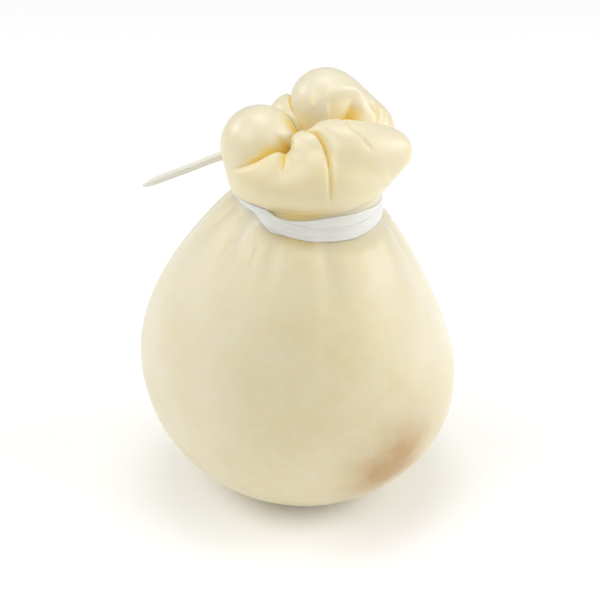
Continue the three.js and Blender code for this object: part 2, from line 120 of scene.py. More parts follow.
# Soft pleats below the tie: azimuth at the tie, azimuth and height at the lower end, depth, width.
# They are PLEAT_NARROW of that width at the tie.
PLEATS = (
    (222, 236, 62, 1.3, 5.5),
    (250, 254, 66, 0.8, 4.0),
    (283.5, 292, 56, 1.5, 6.5),
    (318, 322, 64, 0.8, 5.0),
    (352, 345, 60, 0.9, 5.0),
    (24, 30, 58, 1.0, 6.0),
    (62, 56, 62, 1.2, 5.0),
    (98, 104, 56, 0.9, 7.0),
    (133, 126, 60, 1.2, 5.5),
    (170, 176, 62, 0.9, 5.0),
    (196, 190, 64, 0.8, 4.5),
)
PLEAT_FALL = 1.5
PLEAT_NARROW = 0.45

# Fine creases on the shoulder: points of azimuth and height, depth, width. The ends are the shares of
# a crease at which it has sunk in and starts to rise again, and the painted golden shade is for each mm of
# depth.
SHOULDER_LINES = (
    (((193, 88.5), (197, 87.8), (204, 87.0), (210, 85.2), (213, 83.5)), 0.3, 3.2),
    (((218.5, 84.5), (224.5, 82.2), (231.5, 80.2), (238.2, 78.3)), 0.35, 1.2),
    (((237, 85.6), (238, 83.2), (238.6, 80.4), (238.4, 78.2)), 0.35, 1.1),
    (((204.6, 78.4), (212, 78.7), (218, 79.3), (219.5, 83.0), (220.5, 86.4)), 0.3, 1.3),
    (((226, 87.2), (228, 85.4), (231, 83.2), (233, 81.5)), 0.25, 1.1),
    (((246, 87.4), (247, 85.4), (248.5, 82.4)), 0.25, 1.2),
    (((258, 87.2), (259, 85.0), (260, 82.0)), 0.2, 1.3),
)
SHOULDER_LINE_ENDS = (0.25, 0.6)
SHOULDER_LINE_GOLD = 0.25
SHOULDER_LINE_POINTS = 28

# Head: each fold is a short run of balls, given as centre x, y, z and radius.
HEAD_CENTRE = np.array((4.0, 0.0, 94.0))
FOLDS = {
    "left": ((-10.5, -2, 108, 10.8), (-8.7, -2.5, 102.7, 10.9)),
    "small": ((-1.8, 10, 111.3, 6), (-1.3, 5.2, 110.3, 4.9)),
    "back": ((7.7, 9, 114.9, 10.3), (12.8, 9.5, 111.3, 9.3), (18.3, 9, 107.1, 8.7)),
    "front": (
        (-10.4, -10.6, 102.2, 4.2),
        (-8.2, -11.8, 104.2, 4.6),
        (-5, -11.5, 106.0, 4.8),
        (2.4, -9.3, 110, 5.1),
        (2.6, -12.6, 105, 6),
        (5.2, -12.4, 105, 6.4),
        (8.4, -7.6, 111.2, 5.9),
        (11.8, -8.7, 108.6, 8.2),
        (15, -8.3, 108.4, 8.4),
        (19, -7, 107.5, 8.1),
        (22.5, -5.5, 107.3, 6.9),
        (23.0, -5, 105.0, 6.0),
        (25.8, -5, 107.1, 5.2),
    ),
}
# Lower part of the head, that the folds rise from without a seam: an egg-shaped core and more balls.
CORE_CENTRE = np.array((3.4, -0.5, 99.5))
CORE_SIZE = np.array((20.8, 21.0, 10.5))
SWELL = (
    (10.5, -13, 102, 8.6),
    (16, -9.5, 101.8, 7.8),
    (20.3, -5, 103.3, 6.9),
    (2.5, -14.5, 101, 7),
    (-5, -12.5, 100.5, 7.5),
    (-9.6, -8.6, 100.2, 8.6),
    (-7.5, 6.5, 102, 10),
    (1.5, 9.5, 102, 9.5),
    (11, 9.5, 102, 9.5),
    (17, 5, 102.5, 8.5),
)
FOLD_SOFTNESS = 1.2
BETWEEN_FOLDS_SOFTNESS = 0.4
SWELL_SOFTNESS = 2.0
HEAD_SOFTNESS = 1.4
BALL_SKIRT = 5.0
# Sharp seam where two folds press together. It sinks in as the folds rise over the swell.
SEAM_DEPTH = 2.6
SEAM_WIDTH = 2.4
SEAM_OVER_SWELL = (-1.0, 2.0)
# Creases pressed into the head: points of azimuth and elevation, depth, width, and the shares of
# the crease at which it has sunk in and starts to rise again. Two are wide with a narrow crack at the
# bottom. A crease narrows to CREASE_NARROW of its width at its ends.
LEFT_CREASE = (
    (230, 60),
    (232, 54.5),
    (229.6, 50.3),
    (226.5, 46.5),
    (223.9, 41.8),
    (221.6, 36.8),
    (218, 33.2),
    (214.6, 28.8),
    (210.2, 25.4),
)
FRONT_CREASE = (
    (250, 71),
    (265, 67.5),
    (276.1, 63.7),
    (281.8, 55.8),
    (284.2, 47.5),
    (283.9, 38.9),
    (283.2, 29.7),
)
MIDDLE_CREASE = (
    (230, 58),
    (232.5, 54),
    (234.5, 50.5),
    (239.7, 45.1),
    (242.9, 38.1),
    (244.2, 33.1),
    (244.2, 28.2),
)
RIGHT_CREASE = (
    (340, 72),
    (322, 66),
    (315, 60),
    (313.5, 56),
    (314.4, 51),
    (315, 45.5),
    (316.8, 40),
    (319.4, 35.9),
)
CREASES = (
    (LEFT_CREASE, 2.0, 3.2, 0.1, 0.7),
    ((*LEFT_CREASE, (206, 23)), 1.4, 1.2, 0.1, 0.85),
    (MIDDLE_CREASE, 2.4, 3.0, 0.1, 0.55),
    ((*FRONT_CREASE, (282.5, 20)), 1.4, 3.2, 0.08, 0.5),
    ((*FRONT_CREASE, (282.6, 23.1), (282.4, 18.4), (282.2, 14)), 2.3, 1.1, 0.08, 0.82),
    (RIGHT_CREASE, 1.0, 0.9, 0.1, 0.75),
    (((350, 62), (338, 58), (331, 52)), 0.7, 1.8, 0.2, 0.3),
    (((24, 53), (20.4, 51.2), (16.4, 47.3), (11.5, 46.2), (5, 45)), 1.2, 2.2, 0.2, 0.7),
    (((21, 43.5), (17.4, 42.8), (13.6, 42.7), (8, 43)), 0.8, 1.4, 0.2, 0.7),
    (((208, 31.5), (210.1, 35.5), (211.8, 38.4), (214.8, 42.2)), 0.35, 1.0, 0.3, 0.6),
    (((199, 35.2), (201.7, 37.5), (204.8, 39.6)), 0.3, 0.9, 0.3, 0.6),
    (((112, 60), (108, 44), (104, 24)), 2.2, 2.8, 0.12, 0.55),
    (((152, 52), (147, 38), (143, 22)), 1.6, 2.6, 0.12, 0.55),
    (((62, 52), (60, 38), (56, 20)), 1.4, 2.6, 0.12, 0.55),
)
CREASE_POINTS = 29
CREASE_NARROW = 0.4
# Depth at which a crease or a hole is wholly in painted golden shade.
GOLD_DEPTH = 2.0
# Holes where several folds meet, one small pad and some pits: azimuth, elevation, depth and width.
DENTS = (
    (209, 75, 3.0, 2.6),
    (232.3, 53.8, 1.6, 1.7),
    (19, 45.2, -0.4, 1.8),
    (233, 22, 0.2, 0.4),
    (235, 22.2, 0.2, 0.4),
    (236.3, 20, 0.25, 0.4),
    (238.5, 16.4, 0.3, 0.4),
    (246.2, 26.7, 0.15, 0.4),
)
# Ear-like curl of the back fold. Its lines are drawn on a level plane EAR_PLANE above the head's
# centre, and everything on the left of a line, as it runs, is inside it. A ray from that centre
# counts as rising by at least EAR_LEAST_RISE of its length. The lip has risen at the first of
# LIP_ENDS, shares of its line, and falls between the others. Inside it the leaf sinks over LEAF_STEP
# and rises over LEAF_END.
EAR_PLANE = 24.0
EAR_LEAST_RISE = 0.2
LIP_LINE = ((14.3, 6.5), (12.0, 5.6), (8.8, 3.6), (6.3, 2.2), (4.3, 1.0), (3.2, 0.2), (2.8, -0.7))
LIP_RISE = 0.8
LIP_WIDTH = 0.85
LIP_ENDS = (0.3, 0.6, 0.9)
LEAF_DEPTH = 1.5
LEAF_STEP = (0.3, 1.0)
LEAF_END = (3.0, 7.0)
# Share of the creases' painted golden shade that the dished leaf takes.
LEAF_GOLD_SHADE = 0.3
# Pocket: it sinks over POCKET_LEFT inside the leaf's edge, and has far, right and near walls.
LEAF_EDGE = (
    (9.3, 4.1),
    (10.3, 3.9),
    (10.7, 3.4),
    (10.4, 2.5),
    (9.8, 1.2),
    (9.0, 0.2),
    (8.4, -0.4),
    (7.4, -1.5),
)
POCKET_DEPTH = 6.0
POCKET_LEFT = (0.0, 0.5)
POCKET_FAR = (1.6, 4.2)
POCKET_RIGHT = (12.6, 17.6)
POCKET_NEAR = (-2.5, -0.5)

# Fineness of the cheese's surface. The head takes over from the waist over HEAD_BLEND, shares of its
# rows, and FOOT_RINGS are shares of the flat spot's radius.
CHEESE_COLUMNS = 400
BODY_ROWS = 56
BODY_ROW_CROWDING = 0.65
WAIST_ROWS = 12
HEAD_ROWS = 176
HEAD_BLEND = (-0.03, 0.07)
EVENING_PASSES = 2
FOOT_RINGS = (0.35, 0.7, 0.93)

# Painted sheen: the skin turns paler to the sides of the front, in degrees, less so on the left, and up
# the body and the head, in heights: the share given first is how far of the way it goes at most.
SHEEN_SHARE = 0.8
SHEEN_FROM = 284
SHEEN_SIDES = (8, 62)
SHEEN_LEFT = 0.6
SHEEN_LOW = (12, 58)
SHEEN_HEAD = (105, 124)
# Painted golden glow in the hollows between the folds, for light that shines through the curd: how
# widely the surface is evened out to find them, and the depth below the even surface at which the glow is
# full.
HOLLOW_PASSES = 240
HOLLOW_DEPTH = 2.5
# Heights over which the body's skin gives way to the head's.
HEAD_SKIN = (92, 98)
# How far the curd's strands are drawn out along the height.
STRAND_STRETCH = 8

# Painted tan shadow low on the right side: spots that run together, given as centre x, y, z, spread and
# share.
TAN_SHADE_SPOTS = (
    (20.0, -34.5, 17.0, 8.5, 0.4),
    (25.0, -34.5, 22.0, 10.0, 0.55),
    (30.0, -33.0, 25.5, 12.0, 0.6),
    (27.0, -36.0, 30.0, 17.0, 0.22),
)

# Raffia tie. Each turn leaves TIE_HEIGHT by rises, given as height, azimuth and half spread in
# degrees; then come its width and how many layers lie under it. A strip lies TIE_GAP off the curd, and
# STRIP_EDGE of its thickness is left at its edges.
TIE_HEIGHT = 91.0
TIE_GAP = 0.04
UPPER_TURN = "tie_turn_upper"
LOWER_TURN = "tie_turn_lower"
TIE_TURNS = {
    UPPER_TURN: (((1.6, 308, 80), (-1.1, 250, 36), (2.1, 214, 42)), 4.4, 0),
    LOWER_TURN: (((-1.6, 290, 85), (2.1, 214, 42), (0.7, 350, 45)), 3.9, 1),
}
STRIP_THICKNESS = 0.22
STRIP_EDGE = 0.06
STRIP_EDGE_POWER = 12
STRIP_COLUMNS = 200
STRIP_OUTER_POINTS = 33
STRIP_INNER_POINTS = 9
# Lengthwise ridges of the strips: count across the width, start, rise. They wander as they go round.
RIBS = ((2.3, 0.4, 0.05), (5.2, 2.0, 0.025))
RIB_WANDERS = 2
# The ridges and bunched folds flatten out to the strip's edges.
RELIEF_EDGE_POWER = 4
# Waves of the strips' edges: count round the waist, start for each mm of width, rise.
EDGE_STRAYS = ((3, 1, 0.12), (11, 2, 0.06))
# The lower turn climbs on the upper one between these heights over that one's lower edge.
OVERLAP_STEP = (-0.5, 0.4)
# The turns lie flat in one another at the right: azimuth and half spread, and how far.
MERGE_PLACE = (355, 60)
MERGE_SHARE = 0.9
# Front of the tie, creamier partly as painted shade and partly where the raffia is stretched thin and the
# curd's colour shows through: azimuth and half spread.
THIN_PLACE = (272, 75)
# Folds where the raffia is bunched: turn, place across it, azimuth, half spread, width across, rise.
BUNCHES = (
    (LOWER_TURN, -0.62, 205, 52, 0.22, 0.42),
    (LOWER_TURN, 0.25, 200, 40, 0.3, 0.28),
    (UPPER_TURN, 0.1, 215, 45, 0.3, 0.25),
    (LOWER_TURN, 0.78, 318, 16, 0.12, 0.22),
    (LOWER_TURN, 0.5, 325, 9, 0.14, -0.12),
    (LOWER_TURN, 0.7, 284, 42, 0.1, -0.24),
    (UPPER_TURN, -0.7, 284, 42, 0.09, -0.24),
)

# Free end of the raffia, from the knot to its cut end, in metres. TAIL_THIN is the share of the thin
# raffia's colour in it.
TAIL_ROUTE = (
    (-0.0085, 0.0199, 0.0914),
    (-0.0105, 0.0192, 0.0927),
    (-0.0128, 0.0185, 0.0939),
    (-0.0151, 0.0178, 0.0949),
    (-0.0175, 0.0170, 0.0957),
    (-0.0199, 0.0162, 0.0961),
    (-0.0223, 0.0154, 0.0959),
    (-0.0248, 0.0146, 0.0953),
    (-0.0273, 0.0138, 0.0946),
    (-0.0298, 0.0129, 0.0939),
    (-0.0322, 0.0121, 0.0933),
    (-0.0346, 0.0113, 0.0927),
    (-0.0370, 0.0105, 0.0921),
    (-0.0394, 0.0096, 0.0915),
    (-0.0418, 0.0088, 0.0908),
    (-0.0442, 0.0080, 0.0902),
)
TAIL_STEPS = 96
TAIL_THIN = 0.6
# Its tip narrows from this share of its length on, down to a least share of its width.
TIP_START = 0.8
TIP_POWER = 2.6
TIP_LEAST = 0.12

# Knot behind: two crossed strands, given by azimuth, height and distance from the axis. KNOT_END of
# their size is left at both ends.
KNOT_STRANDS = {
    "knot_under": (
        (121, 87.8, 21.4),
        (116, 89.4, 22.3),
        (110, 91.0, 22.7),
        (104, 92.7, 22.3),
        (99, 94.2, 21.4),
    ),
    "knot_over": (
        (99, 87.6, 21.4),
        (104, 89.3, 22.8),
        (110, 91.1, 23.8),
        (116, 92.9, 22.8),
        (121, 94.4, 21.4),
    ),
}
KNOT_WIDTH = 3.6
KNOT_THICKNESS = 1.7
KNOT_STEPS = 48
KNOT_END = 0.3
KNOT_END_POWER = 4

# Bunched strands of the tail and the knot: ribs as count round the strand, twist and rise, and one
# fold as angle, twist, half width and depth. Angles and twists are in radians. A route is measured in
# ROUTE_FINENESS steps from one point to the next.
STRAND_SIDES = 40
STRAND_RIBS = ((9, 2.5, 0.05), (17, -4.0, 0.03))
STRAND_FOLD = (2.75, 0.5, 0.2, 0.16)
ROUTE_FINENESS = 40

# Patterns of the finishes: scale and detail of a noise, its values between which the pattern rises,
# and the shares that it rises from and to. Levels leave out the noise, and may leave out the shares
# 0 and 1.
NOISE_ROUGHNESS = 0.55
MOTTLES = (55.0, 3.0, 0.35, 0.68, 0.0, 0.4)
SPECKLES = (260.0, 3.0, 0.45, 0.75, 0.0, 0.3)
STREAKS = (0.35, 4.0, 0.4, 0.7, 0.0, 0.06)
TAN_SHADE_PATCHES = (120.0, 3.0, 0.2, 0.7, 0.6, 1.0)
GLOSS_PATCHES = (90.0, 4.0, 0.35, 0.65, -0.06, 0.06)
CREASE_LEVELS = (0.08, 0.78)
GRAIN_LEVELS = (0.3, 0.7, -0.07, 0.07)
COAT_LEVELS = (0.0, 1.0, 0.4, 0.65)
FIBRE_LEVELS = (0.35, 0.65)
FIBRE_GLOSS_LEVELS = (0.3, 0.7, 0.42, 0.28)
CREAM_LEVELS = (0.5, 0.8, 0.0, 0.35)
THIN_LEVELS = (0.2, 0.8, 0.6, 1.0)
# Noises of the fine relief as scale and detail, and bumps as strength and depth.
GRAIN = (2600.0, 2.0)
GRAIN_BUMPS = (0.5, 0.05)
RIPPLES = (420.0, 3.0)
RIPPLE_BUMPS = (0.4, 0.12)
GLINTS = (950.0, 3.0)
GLINT_STRETCH = (1.0, 1.0, 0.5)
GLINT_BUMPS = (0.8, 0.13)
COAT_ROUGHNESS = 0.28
# Fibres of the raffia: how close together along it and across it, scale and detail.
FINE_FIBRES = ((0.12, 9.0, 1.0), 1.0, 4.0)
BROAD_FIBRES = ((0.08, 2.2, 1.0), 1.0, 2.0)
FIBRE_BUMPS = (0.25, 0.04)
# Light that soaks in: how far, and the share of that for its red, green and blue.
CURD_SOAK = 4.0
CURD_SOAK_COLOURS = (1.0, 0.8, 0.42)
RAFFIA_SOAK = 1.0
RAFFIA_SOAK_COLOURS = (1.0, 0.95, 0.85)
RAFFIA_GLOW = 0.35


# Sums


def ease(start, end, value):
    """0 before start, 1 after end, and a smooth rise between them."""
    share = np.clip((value - start) / (end - start), 0, 1)
    return share * share * (3 - 2 * share)


def through(places, values, place):
    """Smooth curve through a few values."""
    places = np.asarray(places, float)
    values = np.asarray(values, float)
    index = np.arange(len(places))
    before = np.maximum(index - 1, 0)
    after = np.minimum(index + 1, len(places) - 1)
    slopes = (values[after] - values[before]) / (places[after] - places[before])
    i = np.clip(np.searchsorted(places, place) - 1, 0, len(places) - 2)
    span = places[i + 1] - places[i]
    share = np.clip((place - places[i]) / span, 0, 1)
    leave = (share**3 - 2 * share**2 + share) * span * slopes[i]
    arrive = (share**3 - share**2) * span * slopes[i + 1]
    return values[i] + (values[i + 1] - values[i]) * ease(0, 1, share) + leave + arrive


def soft_largest(values, softness):
    """Largest of several values, with the change-over rounded off."""
    values = np.stack(values)
    top = values.max(axis=0)
    return top + softness * np.log(np.exp((values - top) / softness).sum(axis=0))


def sharp_groove(aside):
    """Groove with a rounded lip and a sharp bottom: 1 in the middle, 0 from its edge outwards."""
    return 1 - np.sqrt(1 - (1 - np.clip(aside, 0, 1)) ** 2)


def direction(azimuth, elevation):
    """Unit vectors for angles in radians."""
    level = np.cos(elevation)
    return np.stack((level * np.cos(azimuth), level * np.sin(azimuth), np.sin(elevation)), axis=-1)


def full_circle(count):
    """Angles of points spread evenly round a circle."""
    return np.arange(count) / count * 2 * np.pi


def angle_from(azimuth, turn):
    """Angle from an azimuth to a turn in radians, half a circle at most either way."""
    off = turn - np.radians(azimuth)
    return np.arctan2(np.sin(off), np.cos(off))


def bump(turn, azimuth, half_spread):
    """1 at an azimuth, falling to 0 at half a spread on both sides."""
    share = np.clip(np.degrees(angle_from(azimuth, turn)) / half_spread, -1, 1)
    return np.cos(share * np.pi / 2) ** 2


def fine_points(points, count):
    """Many points on a smooth curve through a few."""
    points = np.asarray(points, float)
    fine = np.linspace(0, len(points) - 1, count)
    index = np.arange(len(points))
    return np.stack([through(index, values, fine) for values in points.T], axis=-1)


def nearest_on_path(places, path):
    """Distance from each place to a path, the share of the path before it, and the step it is beside."""
    nearest = np.full(places.shape[:-1], np.inf)
    along = np.zeros(places.shape[:-1])
    near = np.zeros(places.shape[:-1], int)
    for k in range(len(path) - 1):
        step = path[k + 1] - path[k]
        offset = places - path[k]
        share = np.clip(offset @ step / (step @ step), 0, 1)
        distance = np.linalg.norm(offset - share[..., None] * step, axis=-1)
        closer = distance < nearest
        nearest = np.where(closer, distance, nearest)
        along = np.where(closer, (k + share) / (len(path) - 1), along)
        near = np.where(closer, k, near)
    return nearest, along, near


def evened(grid, passes):
    """Each value drawn towards its neighbours, round the columns and along the rows."""
    for _ in range(passes):
        grid = (np.roll(grid, 1, axis=1) + 2 * grid + np.roll(grid, -1, axis=1)) / 4
        padded = np.concatenate((grid[:1], grid, grid[-1:]))
        grid = (padded[:-2] + 2 * padded[1:-1] + padded[2:]) / 4
    return grid


# Body of the cheese


def plain_radius(height):
    """Radius of the round body, before the tie pulls it in."""
    down = FOOT_CUT * np.clip((WIDEST_HEIGHT - height) / WIDEST_HEIGHT, 0, 1)
    bowl = BODY_RADIUS * (1 - down ** BOWL_POWERS[0]) ** (1 / BOWL_POWERS[1])
    up = np.clip((height - WIDEST_HEIGHT) / (NECK_HEIGHT - WIDEST_HEIGHT), 0, 1)
    shoulder = (1 - up ** SHOULDER_POWERS[0]) ** SHOULDER_POWERS[1]
    return np.where(height < WIDEST_HEIGHT, bowl, NECK_RADIUS + (BODY_RADIUS - NECK_RADIUS) * shoulder)


def pleat_depth(turn, height):
    """Depth of the soft pleats below the tie."""
    depth = np.zeros(np.broadcast(turn, height).shape)
    for tie_azimuth, low_azimuth, low_height, deepest, width in PLEATS:
        along = (TILT_FULL - height) / (TILT_FULL - low_height)
        inside = along <= 1
        along = np.clip(along, 0, 1)
        off = angle_from(tie_azimuth + (low_azimuth - tie_azimuth) * along, turn)
        aside = np.abs(off) * plain_radius(height)
        spread = width * (PLEAT_NARROW + (1 - PLEAT_NARROW) * along)
        depth += inside * deepest * (1 - along) ** PLEAT_FALL * np.exp(-((aside / spread) ** 2))
    return depth


def sway_rise(turn, height):
    """Rise of the body's slow unevenness."""
    waves = [rise * np.sin(count * turn + twist * height + start) for count, twist, start, rise in SWAYS]
    return ease(*SWAY_HEIGHTS, height) * sum(waves)


def axis_dip(turn, height):
    """How far a ring dips: fully at the tie's lower edge, and not at all at the waist's level top."""
    levelled = np.clip((height - TILT_FULL) / (WAIST_TOP - TILT_FULL), 0, 1)
    return WAIST_TILT * np.cos(turn) * ease(TILT_START, TILT_FULL, height) * (1 - levelled)


def turn_height(name, turn):
    """Middle height of one turn of the tie."""
    rises = TIE_TURNS[name][0]
    return TIE_HEIGHT + sum(rise * bump(turn, azimuth, spread) for rise, azimuth, spread in rises)


def lower_edge(name, turn):
    """Height of the lower edge of one turn of the tie."""
    return turn_height(name, turn) - TIE_TURNS[name][1] / 2


def waist_bottom(turn):
    """Height along the axis at which the waist starts: that of the tie's lower edge."""
    tilt = WAIST_TILT * np.cos(turn)
    edge = lower_edge(LOWER_TURN, turn)
    span = WAIST_TOP - TILT_FULL
    levelled = (edge - tilt + tilt * WAIST_TOP / span) / (1 + tilt / span)
    return np.where(edge < TILT_FULL, edge, levelled)


def around_axis(turn, radius, height, z):
    """Points at a radius round the leaning axis."""
    lean = through(LEAN_HEIGHTS, LEAN_OFFSETS, height)
    x = lean + radius * np.cos(turn)
    return np.stack(np.broadcast_arrays(x, radius * np.sin(turn), z), axis=-1)


def pulled_in(turn, radius, height):
    """The tie pulls the curd in to the waist."""
    low = waist_bottom(turn)
    bent = PULL_SHARE * np.clip((height - low) / PULL_REACH + 1, 0, 1) ** 2
    narrowed = (1 - PULL_SHARE) * np.clip((height - low) / (WAIST_NARROW - low), 0, 1)
    return radius + (WAIST_RADIUS - radius) * (bent + narrowed)


def body_points(turn, height):
    """Points on the body and the waist at heights along the axis."""
    full = plain_radius(height) - pleat_depth(turn, height) + sway_rise(turn, height)
    return around_axis(turn, pulled_in(turn, full, height), height, height - axis_dip(turn, height))


def body_heights(turn):
    """Heights along the axis of the body's and the waist's rings, in each column."""
    shares = np.linspace(0, 1, BODY_ROWS) ** BODY_ROW_CROWDING
    low = waist_bottom(turn)
    body = (1 - np.cos(np.pi * shares))[:, None] / 2 * low
    up = (np.arange(WAIST_ROWS) + 1)[:, None] / WAIST_ROWS
    return np.concatenate((body, low + (WAIST_TOP - low) * up))


def shoulder_lines(places):
    """Depth of the fine creases on the shoulder."""
    sunk, rising = SHOULDER_LINE_ENDS
    depth = np.zeros(places.shape[:-1])
    for points, deepest, width in SHOULDER_LINES:
        azimuth, height = fine_points(points, SHOULDER_LINE_POINTS).T
        nearest, along, _ = nearest_on_path(places, body_points(np.radians(azimuth), height))
        fade = ease(0, sunk, along) * (1 - ease(rising, 1, along))
        depth += deepest * fade * np.exp(-((2 * nearest / width) ** 2))
    return depth


# Head of the cheese


def ball_reach(rays, ball):
    """How far a ball reaches along rays from the head's centre."""
    centre = np.array(ball[:3]) - HEAD_CENTRE
    along = rays @ centre
    inside = along**2 - centre @ centre + ball[3] ** 2
    skirt = along * np.exp(np.minimum(inside, 0) / BALL_SKIRT**2)
    reach = np.where(inside < 0, skirt, along + np.sqrt(np.maximum(inside, 0)))
    return np.where(along > 0, reach, 0)


def core_reach(rays):
    """How far the head's core reaches along rays from the head's centre."""
    start = (HEAD_CENTRE - CORE_CENTRE) / CORE_SIZE
    step = rays / CORE_SIZE
    a = (step**2).sum(axis=-1)
    b = step @ start
    return (np.sqrt(np.maximum(b * b - a * (start @ start - 1), 0)) - b) / a


def crease_shape(rays, reach, points, width, sunk, rising):
    """Crease pressed in along points of azimuth and elevation: 1 at its deepest."""
    azimuth, elevation = np.radians(fine_points(points, CREASE_POINTS)).T
    nearest, along, _ = nearest_on_path(rays, direction(azimuth, elevation))
    fade = ease(0, sunk, along) * (1 - ease(rising, 1, along))
    return fade * sharp_groove(nearest * reach / (width * (CREASE_NARROW + (1 - CREASE_NARROW) * fade)))


def dent_shape(rays, reach, azimuth, elevation, width):
    """Round dent: 1 in its middle."""
    middle = direction(math.radians(azimuth), math.radians(elevation))
    return np.exp(-((np.linalg.norm(rays - middle, axis=-1) * reach / width) ** 2))


def on_ear_plane(rays):
    """Places where rays from the head's centre go through the ear's plane."""
    return rays[..., :2] / np.maximum(rays[..., 2:], EAR_LEAST_RISE) * EAR_PLANE


def beside_line(places, line):
    """Distance from a line on the ear's plane, above 0 on the line's left, and the share along it."""
    path = fine_points(line, CREASE_POINTS)
    nearest, along, near = nearest_on_path(places, path)
    step = (path[1:] - path[:-1])[near]
    offset = places - path[near]
    left = step[..., 0] * offset[..., 1] - step[..., 1] * offset[..., 0]
    return np.where(left > 0, nearest, -nearest), along


def curl_rise(places):
    """Rise of the ear's lip and of the leaf dished below it, and the share of leaf in each place."""
    inside, along = beside_line(places, LIP_LINE)
    shown = ease(0, LIP_ENDS[0], along) * (1 - ease(*LIP_ENDS[1:], along))
    lip = LIP_RISE * np.exp(-((inside / LIP_WIDTH) ** 2))
    leaf = shown * ease(*LEAF_STEP, inside) * (1 - ease(*LEAF_END, inside))
    return shown * lip - LEAF_DEPTH * leaf, leaf


def pocket_shape(places):
    """Pocket beside the leaf's edge: 1 at its deepest."""
    inside, _ = beside_line(places, LEAF_EDGE)
    across, back = places[..., 0], places[..., 1]
    walls = (1 - ease(*POCKET_FAR, back)) * (1 - ease(*POCKET_RIGHT, across)) * ease(*POCKET_NEAR, back)
    return ease(*POCKET_LEFT, inside) * walls


def head_reach(rays):
    """Distance from the head's centre to its surface along each ray, and its share of painted golden shade,
    for how deep in a crease it is.
    """
    folds = []
    for balls in FOLDS.values():
        folds.append(soft_largest([ball_reach(rays, ball) for ball in balls], FOLD_SOFTNESS))
    ordered = np.sort(np.stack(folds), axis=0)
    top, second = ordered[-1], ordered[-2]
    swell = soft_largest([core_reach(rays)] + [ball_reach(rays, ball) for ball in SWELL], SWELL_SOFTNESS)
    reach = soft_largest([soft_largest(folds, BETWEEN_FOLDS_SOFTNESS), swell], HEAD_SOFTNESS)
    deep = ease(*SEAM_OVER_SWELL, second - swell) * sharp_groove((top - second) / SEAM_WIDTH)
    ear = on_ear_plane(rays)
    curl, leaf = curl_rise(ear)
    reach = reach + curl - SEAM_DEPTH * deep
    # The leaf, the creases, the dents and the pocket add to the painted golden shade.
    deep = np.maximum(deep, LEAF_GOLD_SHADE * leaf)
    for points, depth, width, sunk, rising in CREASES:
        crease = crease_shape(rays, reach, points, width, sunk, rising)
        reach = reach - depth * crease
        deep = np.maximum(deep, crease * np.clip(depth / GOLD_DEPTH, 0, 1))
    for azimuth, elevation, depth, width in DENTS:
        dent = dent_shape(rays, reach, azimuth, elevation, width)
        reach = reach - depth * dent
        deep = np.maximum(deep, dent * np.clip(depth / GOLD_DEPTH, 0, 1))
    pocket = pocket_shape(ear)
    return reach - POCKET_DEPTH * pocket, np.maximum(deep, np.sqrt(pocket))


def head_points(waist_top):
    """Rings of the head, from the waist's top ring up to the pole above the head's centre."""
    starts = waist_top - HEAD_CENTRE
    length = np.linalg.norm(starts, axis=-1)
    low = np.arcsin(starts[:, 2] / length)
    azimuth = np.arctan2(starts[:, 1], starts[:, 0])
    shares = (np.arange(HEAD_ROWS - 1) + 1)[:, None] / HEAD_ROWS
    elevation = low + (np.pi / 2 - low) * shares
    rays = direction(np.broadcast_to(azimuth, elevation.shape), elevation)
    reach, deep = head_reach(rays)
    reach = length + (evened(reach, EVENING_PASSES) - length) * ease(*HEAD_BLEND, shares)
    # Painted golden glow where the surface lies below its evened-out shape.
    hollow = np.clip((evened(reach, HOLLOW_PASSES) - reach) / HOLLOW_DEPTH, 0, 1)
    return HEAD_CENTRE + rays * reach[..., None], evened(deep, EVENING_PASSES), hollow


@functools.cache
def cheese_rings():
    """Rings of points from the foot to the crown; at each, the painted golden shade of creases, the painted
    glow of hollows and the painted shade at the waist.
    """
    turn = full_circle(CHEESE_COLUMNS)
    heights = body_heights(turn)
    body = body_points(turn[None, :], heights)
    outward = np.stack((np.cos(turn), np.sin(turn), np.zeros_like(turn)), axis=-1)
    lines = shoulder_lines(body)
    head, deep, hollow = head_points(body[-1])
    body = body - lines[..., None] * outward
    # Painted shade just below and above the tie, strongest at the front: tan, with some painted golden
    # shade.
    low, high = TIE_SHADE_SHARES
    front = low + (high - low) * bump(turn, TIE_SHADE_AZIMUTH, TIE_SHADE_SPREAD)
    under = front * ease(-WARM_BELOW, TIE_SHADE_FULL, heights - waist_bottom(turn))
    above = front * (1 - ease(0, TIE_SHADE_ABOVE, head[..., 2] - WAIST_TOP))
    gold_under = np.maximum(SHOULDER_LINE_GOLD * lines, TIE_SHADE_GOLD * under)
    painted_gold = np.concatenate((gold_under, np.maximum(deep, TIE_SHADE_GOLD * above)))
    hollow = np.concatenate((np.zeros_like(lines), hollow))
    return np.concatenate((body, head)), painted_gold, hollow, np.concatenate((under, above))


# Raffia


def waist_profile(index, z):
    """Radius of the cheese round the leaning axis at heights z, beside one section of a strip."""
    rings = cheese_rings()[0]
    # The rings from half-way up the body to a sixth of the way up the head reach past the tie.
    near = slice(BODY_ROWS // 2, BODY_ROWS + WAIST_ROWS + HEAD_ROWS // 6)
    column = rings[near, index * CHEESE_COLUMNS // STRIP_COLUMNS]
    lean = through(LEAN_HEIGHTS, LEAN_OFFSETS, column[:, 2])
    radius = np.hypot(column[:, 0] - lean, column[:, 1])
    return np.interp(z, column[:, 2], radius)


def strip_relief(name, turn, across):
    """Ribs and bunched folds on the outside of a strip."""
    wander = np.sin(RIB_WANDERS * turn)
    relief = sum(rise * np.cos(count * across * np.pi + start + wander) for count, start, rise in RIBS)
    for strip, place, azimuth, spread, width, rise in BUNCHES:
        if strip == name:
            aside = (across - place) / width
            relief = relief + rise * bump(turn, azimuth, spread) * np.exp(-(aside**2))
    return relief * (1 - across**RELIEF_EDGE_POWER)


